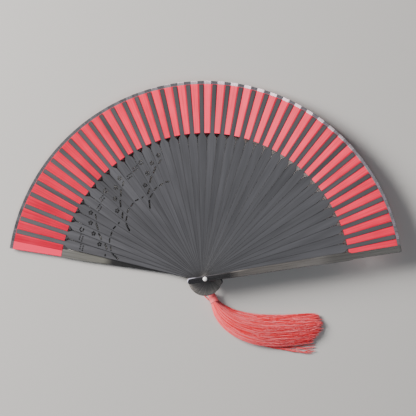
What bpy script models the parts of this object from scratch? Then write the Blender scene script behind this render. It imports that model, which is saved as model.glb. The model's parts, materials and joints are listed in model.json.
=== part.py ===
"""Open folding fan: forty thin black ribs between two thick guard sticks, all turning on one rivet,
with a pleated red leaf bound at its outer edge and a tassel on a cord loop behind the rivet.

The fan lies on its back in the XY plane. The rivet stands on the Z axis and the fan opens round +Y.
Stick 0 is the rear guard on the left, sticks 1 to 40 are the ribs, each lying on the one before,
and stick 41 is the front guard on the right, on top of the stack.
"""

import math

import bmesh
import bpy
import numpy as np
from mathutils import Vector
from mathutils.geometry import tessellate_polygon

MM = 0.001

# --- Driving dimensions, in metres and radians ---
RIB_COUNT = 40
SPREAD = math.radians(161.0)
PITCH = SPREAD / (RIB_COUNT + 1)
FIRST_ANGLE = math.pi / 2 + SPREAD / 2

RIB_THICKNESS = 0.25 * MM
LEVEL_PITCH = 0.40 * MM
ROLL = math.radians(6.5)

PIVOT_HALF = 3.0 * MM
SHOULDER_RADIUS = 138.0 * MM
SHOULDER_HALF = 4.55 * MM
TIP_ROOT_RADIUS = 141.5 * MM
TIP_ROOT_HALF = 2.10 * MM
TIP_END_RADIUS = 189.7 * MM
TIP_END_HALF = 2.25 * MM
TAIL_RADIUS = 16.6 * MM

GUARD_THICKNESS = 1.8 * MM
GUARD_TAIL_RADIUS = 17.6 * MM
GUARD_PIVOT_HALF = 3.0 * MM
GUARD_LENGTH = 193.0 * MM
GUARD_CORNER = 1.0 * MM
GUARD_EDGE = 0.3 * MM
GUARD_FACE_START = 30.0 * MM
# Edges of the guards, in millimetres: distance from the rivet, and distance from the stick's middle line.
# Both widen to a shoulder and step in where the leaf starts. The rear one has a waist on its outer side.
REAR_LEFT_EDGE = ((22.0, 1.6), (36.0, 1.3), (60.0, 1.9), (100.0, 3.4), (120.0, 4.35), (142.6, 4.25), (144.2, 3.1))
REAR_RIGHT_EDGE = ((22.0, 2.9), (142.6, 3.9), (144.2, 2.6))
FRONT_LEFT_EDGE = (
    (20.0, 2.9),
    (40.0, 3.4),
    (80.0, 4.0),
    (105.0, 4.3),
    (122.0, 4.85),
    (142.6, 4.85),
    (144.2, 3.5),
    (165.0, 3.9),
    (190.0, 4.2),
)
FRONT_RIGHT_EDGE = ((20.0, 2.75), (100.0, 2.9), (122.0, 3.4), (142.6, 3.4), (147.0, 2.7))

LEAF_INNER = 142.3 * MM
BAND_INNER = 190.0 * MM
BAND_OUTER = 193.0 * MM
LEAF_THICKNESS = 0.05 * MM
BAND_THICKNESS = 0.14 * MM
FACET_LEFT = math.radians(1.10)
FACET_RIGHT = math.radians(0.863)
REAR_FACET_LEFT = math.radians(1.48)
FRONT_FACET_LEFT = math.radians(0.88)
FRONT_FACET_RIGHT = math.radians(0.68)
LEAF_GAP = 0.02 * MM

PIN_RADIUS = 1.2 * MM
HOLE_RADIUS = 1.38 * MM
HEAD_RADIUS = 2.2 * MM
BACK_HEAD_THICKNESS = 0.5 * MM
CAP_HEIGHT = 1.35 * MM
CAP_WALL = 0.35 * MM
RUNNING_GAP = 0.05 * MM

CORD_RADIUS = 0.5 * MM
CORD_LEVEL = BACK_HEAD_THICKNESS + CORD_RADIUS + 0.08 * MM

# --- Levels of the stack, from the face that lies on the table upwards ---
GUARD_BOTTOM = BACK_HEAD_THICKNESS + 2 * CORD_RADIUS + 0.25 * MM
GUARD_TOP = GUARD_BOTTOM + GUARD_THICKNESS
ROLL_ROOM = SHOULDER_HALF * math.sin(ROLL) + 0.12 * MM
FIRST_RIB_MIDDLE = GUARD_TOP + ROLL_ROOM + RIB_THICKNESS / 2
LAST_RIB_MIDDLE = FIRST_RIB_MIDDLE + (RIB_COUNT - 1) * LEVEL_PITCH
FRONT_BOTTOM = LAST_RIB_MIDDLE + RIB_THICKNESS / 2 + ROLL_ROOM
FRONT_TOP = FRONT_BOTTOM + GUARD_THICKNESS

# --- The pierced pattern: one motif runs over five ribs and is repeated three times ---
PIERCED_RIBS = 15
MOTIF_RIBS = 5
SLOT_WIDTH = 1.0 * MM
LINE_WIDTH = 0.7 * MM
PETAL_RING = 1.45 * MM
PETAL_LENGTH = 1.25 * MM
PETAL_WIDTH = 1.05 * MM
DOT_RADIUS = 0.42 * MM


def clear_scene():
    for obj in list(bpy.data.objects):
        bpy.data.objects.remove(obj, do_unlink=True)


def material(name, colour, roughness, metallic=0.0):
    made = bpy.data.materials.new(name)
    made.use_nodes = True
    shader = made.node_tree.nodes["Principled BSDF"]
    shader.inputs["Base Color"].default_value = (*colour, 1.0)
    shader.inputs["Roughness"].default_value = roughness
    shader.inputs["Metallic"].default_value = metallic
    return made


def add_object(name, data, finish, location=(0, 0, 0), rotation=(0, 0, 0)):
    obj = bpy.data.objects.new(name, data)
    obj.data.materials.append(finish)
    obj.location = location
    obj.rotation_euler = rotation
    bpy.context.scene.collection.objects.link(obj)
    return obj


def stick_angle(stick):
    return FIRST_ANGLE - stick * PITCH


def rib_middle(rib):
    return FIRST_RIB_MIDDLE + (rib - 1) * LEVEL_PITCH


def arc(centre, radius, start, end, steps):
    """Points from one angle to the other on a circle, both ends included."""
    return [
        (centre[0] + radius * math.cos(turn), centre[1] + radius * math.sin(turn))
        for turn in np.linspace(start, end, steps + 1)
    ]


def pivot_hole():
    return arc((0, 0), HOLE_RADIUS, 0, 2 * math.pi, 14)[:-1]


def plate_mesh(name, loops, thickness):
    """A flat plate centred on z = 0: the first loop is its outline and the others are holes."""
    corners = [Vector((x, y, -thickness / 2)) for loop in loops for x, y in loop]
    triangles = tessellate_polygon([[Vector((x, y, 0)) for x, y in loop] for loop in loops])
    solid = bmesh.new()
    verts = [solid.verts.new(corner) for corner in corners]
    for triangle in triangles:
        solid.faces.new([verts[index] for index in triangle])
    bmesh.ops.recalc_face_normals(solid, faces=solid.faces)
    raised = bmesh.ops.extrude_face_region(solid, geom=solid.faces[:])
    top = [item for item in raised["geom"] if isinstance(item, bmesh.types.BMVert)]
    bmesh.ops.translate(solid, verts=top, vec=(0, 0, thickness))
    bmesh.ops.recalc_face_normals(solid, faces=solid.faces)
    mesh = bpy.data.meshes.new(name)
    solid.to_mesh(mesh)
    solid.free()
    return mesh


# --- Ribs ---


def blade_half(radius):
    """Half the width of a rib's blade at a distance from the rivet."""
    return PIVOT_HALF + (SHOULDER_HALF - PIVOT_HALF) * radius / SHOULDER_RADIUS


def rib_outline():
    """Round tail, blade that widens to its shoulder, then the narrow tip that carries the leaf."""
    tail_half = blade_half(-TAIL_RADIUS / 2)
    tail_centre = (tail_half - TAIL_RADIUS, 0)
    outline = arc(tail_centre, tail_half, math.pi / 2, 3 * math.pi / 2, 6)
    lower = [
        (SHOULDER_RADIUS, -SHOULDER_HALF),
        (TIP_ROOT_RADIUS, -TIP_ROOT_HALF),
        (TIP_END_RADIUS, -TIP_END_HALF),
    ]
    return outline + lower + [(x, -y) for x, y in reversed(lower)]


def on_blade(radius_mm, across):
    """A point of the blade that stays in view: across is 0 at its left edge, 1 at the next rib's."""
    radius = radius_mm * MM
    return Vector((radius, blade_half(radius) - across * radius * PITCH))


def slot(start, end, width=SLOT_WIDTH):
    """A narrow hole with pointed ends from one point of the blade to another."""
    along = (end - start).normalized()
    side = Vector((-along.y, along.x)) * width / 2
    inset = along * width / 2
    points = [start, start + inset + side, end - inset + side]
    points += [end, end - inset - side, start + inset - side]
    return [tuple(point) for point in points]


def blossom(centre):
    """Five kite-shaped petals round a solid middle."""
    petals = []
    for number in range(5):
        turn = 2 * math.pi * number / 5
        out = Vector((math.cos(turn), math.sin(turn)))
        side = Vector((-out.y, out.x)) * PETAL_WIDTH / 2
        root = centre + out * (PETAL_RING - PETAL_LENGTH / 2)
        middle = centre + out * (PETAL_RING + PETAL_LENGTH * 0.1)
        tip = centre + out * (PETAL_RING + PETAL_LENGTH / 2)
        petals.append([tuple(point) for point in (root, middle - side, tip, middle + side)])
    return petals


def dot(centre):
    return arc(centre, DOT_RADIUS, 0, 2 * math.pi, 4)[:-1]


def sprig(radius_mm):
    """Two staggered rows of dots across the blade."""
    lower = [on_blade(radius_mm, across) for across in (0.22, 0.46, 0.70)]
    upper = [on_blade(radius_mm + 2.6, across) for across in (0.34, 0.58, 0.82)]
    return [dot(centre) for centre in lower + upper]


def bud(radius_mm):
    """Three short strokes that curl round an open side, like a closed flower."""
    low, high = radius_mm - 1.5, radius_mm + 1.5
    strokes = [
        slot(on_blade(low, 0.28), on_blade(low, 0.62), LINE_WIDTH),
        slot(on_blade(low + 0.7, 0.20), on_blade(high - 0.3, 0.24), LINE_WIDTH),
        slot(on_blade(high + 0.3, 0.30), on_blade(high - 0.2, 0.66), LINE_WIDTH),
    ]
    return strokes


def motif_holes(place):
    """The holes of one rib, by its place in the motif: blossoms climb to the right over a stem of slots."""
    if place == 0:
        return [
            *sprig(123.0),
            slot(on_blade(100.0, 0.20), on_blade(100.3, 0.48), LINE_WIDTH),
            slot(on_blade(87.0, 0.28), on_blade(94.2, 0.90)),
        ]
    if place == 1:
        return [
            *sprig(126.0),
            *blossom(on_blade(108.4, 0.56)),
            slot(on_blade(99.9, 0.20), on_blade(103.4, 0.86)),
            slot(on_blade(95.7, 0.22), on_blade(97.6, 0.84), LINE_WIDTH),
        ]
    if place == 2:
        return [
            *bud(129.5),
            *blossom(on_blade(117.4, 0.53)),
            slot(on_blade(108.0, 0.22), on_blade(113.0, 0.84)),
            slot(on_blade(99.7, 0.24), on_blade(101.0, 0.82), LINE_WIDTH),
        ]
    if place == 3:
        return [
            *blossom(on_blade(124.3, 0.52)),
            slot(on_blade(114.8, 0.20), on_blade(119.6, 0.80)),
            slot(on_blade(101.1, 0.24), on_blade(101.8, 0.80), LINE_WIDTH),
        ]
    return [
        *blossom(on_blade(128.8, 0.52)),
        slot(on_blade(121.0, 0.20), on_blade(124.0, 0.66), LINE_WIDTH),
        slot(on_blade(102.1, 0.22), on_blade(101.2, 0.72), LINE_WIDTH),
    ]


def make_ribs(finish):
    """Ribs 1 to 15 share five pierced blades in turn, and the rest share one plain blade."""
    plain = plate_mesh("rib_plain", [rib_outline(), pivot_hole()], RIB_THICKNESS)
    pierced = [
        plate_mesh(f"rib_motif_{place}", [rib_outline(), pivot_hole(), *motif_holes(place)], RIB_THICKNESS)
        for place in range(MOTIF_RIBS)
    ]
    for mesh in (plain, *pierced):
        mesh.materials.append(finish)
    for rib in range(1, RIB_COUNT + 1):
        mesh = pierced[(rib - 1) % MOTIF_RIBS] if rib <= PIERCED_RIBS else plain
        obj = bpy.data.objects.new(f"rib_{rib:02d}", mesh)
        obj.location = (0, 0, rib_middle(rib))
        obj.rotation_euler = (ROLL, 0, stick_angle(rib))
        bpy.context.scene.collection.objects.link(obj)


# --- Guards ---


def guard_side(edge):
    """One long side of a guard, from near the rivet to its end, which has a cut corner."""
    side = [(distance * MM, half * MM) for distance, half in edge]
    end_half = side[-1][1]
    return side + [(GUARD_LENGTH - GUARD_CORNER, end_half), (GUARD_LENGTH, end_half - GUARD_CORNER)]


def guard_outline(left_edge, right_edge):
    """A stick with a round tail behind the rivet and its own edge on each side."""
    tail_centre = (GUARD_PIVOT_HALF - GUARD_TAIL_RADIUS, 0)
    tail = arc(tail_centre, GUARD_PIVOT_HALF, math.pi / 2, 3 * math.pi / 2, 8)
    return tail + [(x, -y) for x, y in guard_side(right_edge)] + list(reversed(guard_side(left_edge)))


def ring_of_edges(mesh, place):
    """Edges across the stick, so that its flat faces beyond them end clear of the rivet."""
    solid = bmesh.new()
    solid.from_mesh(mesh)
    everything = solid.verts[:] + solid.edges[:] + solid.faces[:]
    bmesh.ops.bisect_plane(solid, geom=everything, dist=1e-7, plane_co=(place, 0, 0), plane_no=(1, 0, 0))
    solid.to_mesh(mesh)
    solid.free()


def make_guard(name, stick, bottom, edges, finish):
    mesh = plate_mesh(name, [guard_outline(*edges), pivot_hole()], GUARD_THICKNESS)
    ring_of_edges(mesh, GUARD_FACE_START)
    middle = bottom + GUARD_THICKNESS / 2
    obj = add_object(name, mesh, finish, (0, 0, middle), (0, 0, stick_angle(stick)))
    rounding = obj.modifiers.new("rounded_edges", "BEVEL")
    rounding.width = GUARD_EDGE
    rounding.segments = 2
    rounding.limit_method = "ANGLE"
    rounding.angle_limit = math.radians(40)


# --- Leaf and its edge binding ---


def facet(stick):
    """Left fold, right fold and their heights for the strip of leaf under one stick."""
    middle = stick_angle(stick)
    if stick == 0:
        level = GUARD_TOP + LEAF_GAP + BAND_THICKNESS / 2
        return (middle + REAR_FACET_LEFT, level), (middle - FACET_RIGHT, level)
    if stick == RIB_COUNT + 1:
        level = FRONT_BOTTOM - LEAF_GAP - BAND_THICKNESS / 2
        return (middle + FRONT_FACET_LEFT, level), (middle - FRONT_FACET_RIGHT, level)
    level = rib_middle(stick) - RIB_THICKNESS / 2 - LEAF_GAP - LEAF_THICKNESS / 2
    return (middle + FACET_LEFT, level), (middle - FACET_RIGHT, level)


def fold_points(radius):
    """The zigzag line of the leaf's middle surface at one radius, from the rear guard to the front."""
    points = []
    for stick in range(RIB_COUNT + 2):
        tilt = math.tan(ROLL) if 0 < stick <= RIB_COUNT else 0.0
        for angle, level in facet(stick):
            rise = radius * math.sin(angle - stick_angle(stick)) * tilt
            points.append((radius * math.cos(angle), radius * math.sin(angle), level + rise))
    return points


def pleated_mesh(name, inner, outer, thickness, drop=0.0):
    """A closed pleated strip between two radii."""
    inner_line = np.array(fold_points(inner))
    outer_line = np.array(fold_points(outer))
    half = np.array([0, 0, thickness / 2])
    low = np.array([0, 0, drop])
    rows = [inner_line - half - low, outer_line - half - low, outer_line + half - low, inner_line + half - low]
    count = len(inner_line)
    points = np.concatenate(rows)
    faces = []
    for row in range(4):
        following = (row + 1) % 4
        for step in range(count - 1):
            a, b = row * count + step, row * count + step + 1
            c, d = following * count + step + 1, following * count + step
            faces.append((a, b, c, d))
    faces.append(tuple(row * count for row in range(4)))
    faces.append(tuple(row * count + count - 1 for row in reversed(range(4))))
    mesh = bpy.data.meshes.new(name)
    mesh.from_pydata(points.tolist(), [], faces)
    solid = bmesh.new()
    solid.from_mesh(mesh)
    bmesh.ops.recalc_face_normals(solid, faces=solid.faces)
    bmesh.ops.triangulate(solid, faces=solid.faces)
    solid.to_mesh(mesh)
    solid.free()
    return mesh


def make_leaf(cloth, binding):
    add_object("leaf", pleated_mesh("leaf", LEAF_INNER, BAND_INNER - LEAF_GAP, LEAF_THICKNESS), cloth)
    add_object("edge_binding", pleated_mesh("edge_binding", BAND_INNER, BAND_OUTER, BAND_THICKNESS), binding)


# --- Rivet ---


def turned(name, profile, finish, level, steps=20):
    """A body of revolution round Z from a profile of (radius, height) points, closed on the axis."""
    solid = bmesh.new()
    verts = [solid.verts.new((radius, 0, height)) for radius, height in profile]
    edges = [solid.edges.new(pair) for pair in zip(verts, verts[1:])]
    bmesh.ops.spin(
        solid,
        geom=verts + edges,
        axis=(0, 0, 1),
        cent=(0, 0, 0),
        angle=2 * math.pi,
        steps=steps,
        use_merge=True,
    )
    bmesh.ops.remove_doubles(solid, verts=solid.verts, dist=1e-7)
    bmesh.ops.recalc_face_normals(solid, faces=solid.faces)
    mesh = bpy.data.meshes.new(name)
    solid.to_mesh(mesh)
    solid.free()
    return add_object(name, mesh, finish, (0, 0, level))


def make_rivet(metal, enamel):
    """The pin with its flat back head, and the domed cap pressed over the pin's front end."""
    pin_top = FRONT_TOP + 0.6 * MM
    edge = 0.12 * MM
    pin = [
        (0, 0),
        (HEAD_RADIUS - edge, 0),
        (HEAD_RADIUS, edge),
        (HEAD_RADIUS, BACK_HEAD_THICKNESS - edge),
        (HEAD_RADIUS - edge, BACK_HEAD_THICKNESS),
        (PIN_RADIUS, BACK_HEAD_THICKNESS),
        (PIN_RADIUS, pin_top),
        (0, pin_top),
    ]
    turned("rivet_pin", pin, metal, 0)
    bore = PIN_RADIUS + RUNNING_GAP
    roof = pin_top - FRONT_TOP + RUNNING_GAP
    base = 2 * RUNNING_GAP
    dome = [
        (HEAD_RADIUS * math.cos(turn), base + 0.15 * MM + (CAP_HEIGHT - 0.15 * MM) * math.sin(turn))
        for turn in np.linspace(0, math.pi / 2, 7)[:-1]
    ]
    cap = [(0, roof), (bore, roof), (bore, base), (HEAD_RADIUS, base), *dome, (0, base + CAP_HEIGHT)]
    turned("rivet_cap", cap, enamel, FRONT_TOP)


# --- Tassel ---

# The cord's route in millimetres: out of the tassel's neck, round the pin and back to the neck.
CORD_ROUTE = (
    (6.3, -13.6, 3.0),
    (5.7, -11.3, 2.2),
    (4.8, -8.6, 1.35),
    (3.8, -5.8, 1.08),
    (2.8, -3.0, 1.08),
    (2.1, -0.4, 1.08),
    (1.5, 1.3, 1.08),
    (0.0, 2.0, 1.08),
    (-1.5, 1.3, 1.08),
    (-2.1, -0.4, 1.08),
    (-2.3, -3.2, 1.08),
    (-2.2, -6.4, 1.08),
    (-1.9, -9.6, 1.08),
    (-1.5, -12.8, 1.08),
    (-0.8, -15.6, 1.00),
    (0.5, -17.7, 0.90),
    (2.3, -19.4, 0.85),
    (4.0, -20.9, 0.80),
)

NECK_START = Vector((5.9, -14.3)) * MM
NECK_END = Vector((10.0, -23.2)) * MM
NECK_HALF_START = 3.5 * MM
NECK_HALF_END = 4.55 * MM
TASSEL_GAP = 0.3 * MM

# The skirt's middle line from the neck to the ragged end, with its half-width there, in millimetres.
SKIRT_ROUTE = (
    (10.1, -23.6, 4.6),
    (15.4, -31.2, 8.0),
    (23.2, -38.2, 10.6),
    (33.4, -43.6, 13.0),
    (45.0, -47.3, 14.6),
    (57.0, -49.4, 15.5),
    (69.0, -49.8, 15.8),
    (81.5, -49.2, 15.6),
    (93.5, -48.0, 15.2),
    (104.5, -46.6, 13.6),
    (114.5, -45.6, 10.6),
)
SKIRT_START_HEIGHT = 8.6 * MM
SKIRT_END_HEIGHT = 4.6 * MM
SKIRT_SIDES = 12


def smooth_line(points, steps):
    """Catmull-Rom curve through points, with the same number of steps between each two."""
    points = np.array(points, float)
    padded = np.vstack([2 * points[0] - points[1], points, 2 * points[-1] - points[-2]])
    share = np.linspace(0, 1, steps, endpoint=False)[:, None]
    pieces = []
    for a, b, c, d in zip(padded, padded[1:], padded[2:], padded[3:]):
        slope = (c - a) / 2
        bend = a - 2.5 * b + 2 * c - d / 2
        twist = (d - a) / 2 + 1.5 * (b - c)
        pieces.append(b + slope * share + bend * share**2 + twist * share**3)
    return np.vstack([*pieces, points[-1:]])


def make_cord(finish):
    line = smooth_line(CORD_ROUTE, 2) * MM
    curve = bpy.data.curves.new("tassel_cord", "CURVE")
    curve.dimensions = "3D"
    curve.bevel_depth = CORD_RADIUS
    curve.bevel_resolution = 2
    curve.use_fill_caps = True
    spline = curve.splines.new("POLY")
    spline.points.add(len(line) - 1)
    for point, place in zip(spline.points, line):
        point.co = (*place, 1.0)
    add_object("tassel_cord", curve, finish)


def lofted(name, rings, finish):
    """A closed solid through rings of equally many points, with flat ends."""
    sides = len(rings[0])
    faces = []
    for ring in range(len(rings) - 1):
        for side in range(sides):
            a, b = ring * sides + side, ring * sides + (side + 1) % sides
            faces.append((a, b, b + sides, a + sides))
    faces.append(tuple(range(sides)))
    faces.append(tuple((len(rings) - 1) * sides + side for side in range(sides)))
    mesh = bpy.data.meshes.new(name)
    mesh.from_pydata([tuple(point) for ring in rings for point in ring], [], faces)
    solid = bmesh.new()
    solid.from_mesh(mesh)
    bmesh.ops.recalc_face_normals(solid, faces=solid.faces)
    bmesh.ops.triangulate(solid, faces=solid.faces)
    solid.to_mesh(mesh)
    solid.free()
    return add_object(name, mesh, finish)


def flattened_ring(centre, forward, half_width, height, sides):
    """An ellipse that stands across a direction and rests on the table."""
    across = Vector((-forward.y, forward.x)).normalized()
    ring = []
    for side in range(sides):
        turn = 2 * math.pi * side / sides
        place = centre + across * half_width * math.cos(turn)
        ring.append((place.x, place.y, height / 2 * (1 + math.sin(turn))))
    return ring


def make_neck(finish):
    """The wrapped neck that gathers the threads: a barrel lying on the table."""
    forward = NECK_END - NECK_START
    rings = []
    for share, full in ((0.0, 0.88), (0.12, 1.0), (0.5, 1.0), (0.88, 1.0), (1.0, 0.94)):
        half = (NECK_HALF_START + (NECK_HALF_END - NECK_HALF_START) * share) * full
        rings.append(flattened_ring(NECK_START + forward * share, forward, half, 2 * half, 14))
    lofted("tassel_neck", rings, finish)


def make_skirt(finish):
    """The thread skirt, fanned out on the table in one gentle curve."""
    line = smooth_line(SKIRT_ROUTE, 2) * MM
    shares = np.linspace(0, 1, len(line))
    directions = np.gradient(line[:, :2], axis=0)
    neck_direction = (NECK_END - NECK_START).normalized()
    directions[0] = neck_direction
    rings = []
    for (x, y, half), share, direction in zip(line, shares, directions):
        height = SKIRT_START_HEIGHT + (SKIRT_END_HEIGHT - SKIRT_START_HEIGHT) * share
        rings.append(flattened_ring(Vector((x, y)), Vector(direction), half, height, SKIRT_SIDES))
    lofted("tassel_skirt", rings, finish)


def main():
    clear_scene()
    lacquered = material("black_lacquered_wood", (0.045, 0.048, 0.052), 0.42)
    guard_wood = material("polished_black_wood", (0.02, 0.02, 0.02), 0.25)
    cloth = material("red_leaf_cloth", (0.75, 0.08, 0.10), 0.7)
    binding = material("grey_satin_binding", (0.35, 0.37, 0.38), 0.4)
    metal = material("rivet_metal", (0.8, 0.8, 0.8), 0.25, 1.0)
    enamel = material("white_rivet_cap", (0.9, 0.9, 0.88), 0.2)
    thread = material("red_silk_thread", (0.85, 0.12, 0.11), 0.5)
    make_guard("rear_guard", 0, GUARD_BOTTOM, (REAR_LEFT_EDGE, REAR_RIGHT_EDGE), guard_wood)
    make_ribs(lacquered)
    make_guard("front_guard", RIB_COUNT + 1, FRONT_BOTTOM, (FRONT_LEFT_EDGE, FRONT_RIGHT_EDGE), guard_wood)
    make_leaf(cloth, binding)
    make_rivet(metal, enamel)
    make_cord(thread)
    make_neck(thread)
    make_skirt(thread)


main()
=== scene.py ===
"""Looks of an open folding fan: forty thin black-stained ribs between two lacquered guard sticks, a
pleated red cloth leaf with a grey satin binding, a white rivet cap and a coral silk tassel.

Everything is in metres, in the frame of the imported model: the rivet stands on the Z axis, the fan
opens round +Y, and stick 0 is the rear guard on the left, 1 to 40 the ribs, 41 the front guard.
"""

import json
import math

import bmesh
import bpy
import numpy as np
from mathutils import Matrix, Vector
from mathutils.geometry import tessellate_polygon


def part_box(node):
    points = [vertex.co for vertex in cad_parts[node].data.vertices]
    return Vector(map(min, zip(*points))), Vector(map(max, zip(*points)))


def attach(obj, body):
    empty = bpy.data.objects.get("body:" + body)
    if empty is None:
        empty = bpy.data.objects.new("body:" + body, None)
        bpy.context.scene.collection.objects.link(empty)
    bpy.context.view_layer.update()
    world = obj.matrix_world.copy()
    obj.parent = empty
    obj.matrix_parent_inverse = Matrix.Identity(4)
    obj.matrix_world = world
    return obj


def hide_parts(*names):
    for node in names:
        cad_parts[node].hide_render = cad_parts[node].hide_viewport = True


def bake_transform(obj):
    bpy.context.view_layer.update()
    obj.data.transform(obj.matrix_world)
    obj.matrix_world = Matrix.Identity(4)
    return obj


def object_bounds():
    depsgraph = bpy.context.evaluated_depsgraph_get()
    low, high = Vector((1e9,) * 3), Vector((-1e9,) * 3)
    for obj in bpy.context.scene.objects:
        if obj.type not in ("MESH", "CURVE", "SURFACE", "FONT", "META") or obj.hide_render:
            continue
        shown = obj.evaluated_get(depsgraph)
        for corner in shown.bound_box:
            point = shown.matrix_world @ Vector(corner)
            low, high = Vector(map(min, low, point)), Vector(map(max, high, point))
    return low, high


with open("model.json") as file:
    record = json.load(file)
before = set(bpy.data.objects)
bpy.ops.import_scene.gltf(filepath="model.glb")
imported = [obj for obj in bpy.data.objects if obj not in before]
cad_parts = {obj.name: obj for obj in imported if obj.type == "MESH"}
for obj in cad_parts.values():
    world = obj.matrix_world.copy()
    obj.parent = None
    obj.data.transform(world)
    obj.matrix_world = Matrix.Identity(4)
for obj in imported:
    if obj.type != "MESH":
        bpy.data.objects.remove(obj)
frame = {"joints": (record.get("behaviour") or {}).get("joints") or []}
cad_low, cad_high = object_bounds()

MM = 0.001
RIBS, PIERCED_RIBS = 40, 15
LAST = RIBS + 1
SPREAD = math.radians(next(j["range_deg"][1] for j in frame["joints"] if j["name"] == "fan_fold"))
PITCH = SPREAD / LAST
FIRST_ANGLE = math.pi / 2 + SPREAD / 2
ROLL = math.radians(6.5)
TILT = math.tan(ROLL)


# --- Helpers ---


def hex_colour(code):
    """Linear RGBA from an sRGB hex value: each channel is undone from its display curve."""
    shown = np.array([int(code[i : i + 2], 16) for i in (1, 3, 5)]) / 255
    linear = np.where(shown <= 0.04045, shown / 12.92, ((shown + 0.055) / 1.055) ** 2.4)
    return (*(float(part) for part in linear), 1.0)


def add_node(tree, kind, settings=None, links=None):
    """Adds a node: settings name its properties or its inputs, and links join its inputs to outputs."""
    node = tree.nodes.new(kind)
    for key, value in (settings or {}).items():
        if isinstance(key, str) and hasattr(node, key):
            setattr(node, key, value)
        else:
            node.inputs[key].default_value = value
    for key, source in (links or {}).items():
        tree.links.new(source, node.inputs[key])
    return node


def blank_material(name):
    """A material with a Principled shader joined to its output, and nothing else."""
    made = bpy.data.materials.new(name)
    made.use_nodes = True
    return made, made.node_tree, made.node_tree.nodes["Principled BSDF"]


def grid_faces(rows, columns, closed=False):
    """Quads of a grid whose points run along each row in turn. A closed one joins its last column to
    its first. Also gives each quad corner's (row, column) as shares from 0 to 1."""
    row = np.arange(rows - 1)[:, None]
    column = np.arange(columns if closed else columns - 1)[None, :]
    following = (column + 1) % columns
    corners = [(row, column), (row, following), (row + 1, following), (row + 1, column)]
    faces = np.stack([r * columns + c for r, c in corners], -1).reshape(-1, 4)
    spans = max(rows - 1, 1), (columns if closed else columns - 1)
    steps = [(row, column), (row, column + 1), (row + 1, column + 1), (row + 1, column)]
    shares = [np.stack(np.broadcast_arrays(r / spans[0], c / spans[1]), -1) for r, c in steps]
    return faces, np.stack(shares, 2).reshape(-1, 4, 2)


def make_piece(
    name, points, faces, finish, uv=None, tone=None, scorch_and_painted_light=None, sharp=None, weld=False
):
    """A mesh object at the origin. uv holds a place for each point or for each face corner, and tone one
    number for each point. The next mark also holds one number for each point: it darkens with scorch and
    painted shade and, below 0, lightens as a painted highlight. Edges steeper than the angle sharp are
    left crisp."""
    mesh = bpy.data.meshes.new(name)
    corners = [list(map(int, face)) for face in faces]
    mesh.from_pydata(np.asarray(points, float).tolist(), [], corners)
    if uv is not None:
        uv = np.asarray(uv, float)
        if len(uv) == len(mesh.vertices):
            of_loop = np.empty(len(mesh.loops), np.int32)
            mesh.loops.foreach_get("vertex_index", of_loop)
            uv = uv[of_loop]
        layer = mesh.uv_layers.new(name="UVMap")
        layer.data.foreach_set("uv", uv.reshape(-1).astype(np.float32))
    for label, values in (("tone", tone), ("scorch_and_painted_light", scorch_and_painted_light)):
        if values is not None:
            numbers = mesh.attributes.new(label, "FLOAT", "POINT")
            numbers.data.foreach_set("value", np.asarray(values, np.float32).reshape(-1))
    if weld:
        close_poles(mesh)
    mesh.shade_smooth()
    if sharp is not None:
        mesh.set_sharp_from_angle(angle=math.radians(sharp))
    mesh.materials.append(finish)
    obj = bpy.data.objects.new(name, mesh)
    bpy.context.scene.collection.objects.link(obj)
    return obj


def close_poles(mesh):
    """Merges the points that fall on each other and turns every face outwards."""
    solid = bmesh.new()
    solid.from_mesh(mesh)
    bmesh.ops.remove_doubles(solid, verts=solid.verts, dist=1e-7)
    bmesh.ops.recalc_face_normals(solid, faces=solid.faces)
    solid.to_mesh(mesh)
    solid.free()


def smooth_line(points, steps):
    """Catmull-Rom curve through points, with the same number of steps between each two."""
    points = np.array(points, float)
    padded = np.vstack([2 * points[0] - points[1], points, 2 * points[-1] - points[-2]])
    share = np.linspace(0, 1, steps, endpoint=False)[:, None]
    pieces = []
    for a, b, c, d in zip(padded, padded[1:], padded[2:], padded[3:]):
        slope = (c - a) / 2
        bend = a - 2.5 * b + 2 * c - d / 2
        twist = (d - a) / 2 + 1.5 * (b - c)
        pieces.append(b + slope * share + bend * share**2 + twist * share**3)
    return np.vstack([*pieces, points[-1:]])


def unit(vectors):
    return vectors / np.maximum(np.linalg.norm(vectors, axis=-1, keepdims=True), 1e-12)


def smoothstep(share):
    share = np.clip(share, 0, 1)
    return share * share * (3 - 2 * share)


def across_and_up(line):
    """For points along a line lying on the table: the level direction across it, and the one that
    stands on both. The last two axes are the points and their coordinates."""
    forward = unit(np.gradient(line, axis=-2))
    across = unit(np.cross(np.broadcast_to([0.0, 0.0, 1.0], forward.shape), forward))
    return across, np.cross(forward, across)


# --- Camera, light and floor ---


def make_camera():
    """Straight above the fan, turned by 0.84 degrees, with a long lens that takes in 406 mm."""
    distance, taken_in = 5.0, 0.4064
    middle_x, middle_y = 0.00185, 0.06915
    data = bpy.data.cameras.new("camera")
    data.sensor_width = 36.0
    data.lens = 36.0 * distance / taken_in
    data.clip_end = 50.0
    camera = bpy.data.objects.new("camera", data)
    camera.location = (middle_x, middle_y, distance)
    camera.rotation_euler = (0, 0, math.radians(0.84))
    bpy.context.scene.collection.objects.link(camera)
    bpy.context.scene.camera = camera


def make_light(name, azimuth, elevation, distance, size, watts, colour):
    """A soft square lamp on a sphere round the fan's middle, turned towards it."""
    data = bpy.data.lights.new(name, "AREA")
    data.shape = "SQUARE"
    data.size = size
    data.energy = watts
    data.color = hex_colour(colour)[:3]
    lamp = bpy.data.objects.new(name, data)
    turn, rise = math.radians(azimuth), math.radians(elevation)
    away = Vector((math.cos(rise) * math.cos(turn), math.cos(rise) * math.sin(turn), math.sin(rise)))
    lamp.location = Vector((0, 0.07, 0)) + away * distance
    lamp.rotation_euler = away.to_track_quat("Z", "Y").to_euler()
    bpy.context.scene.collection.objects.link(lamp)


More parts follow.
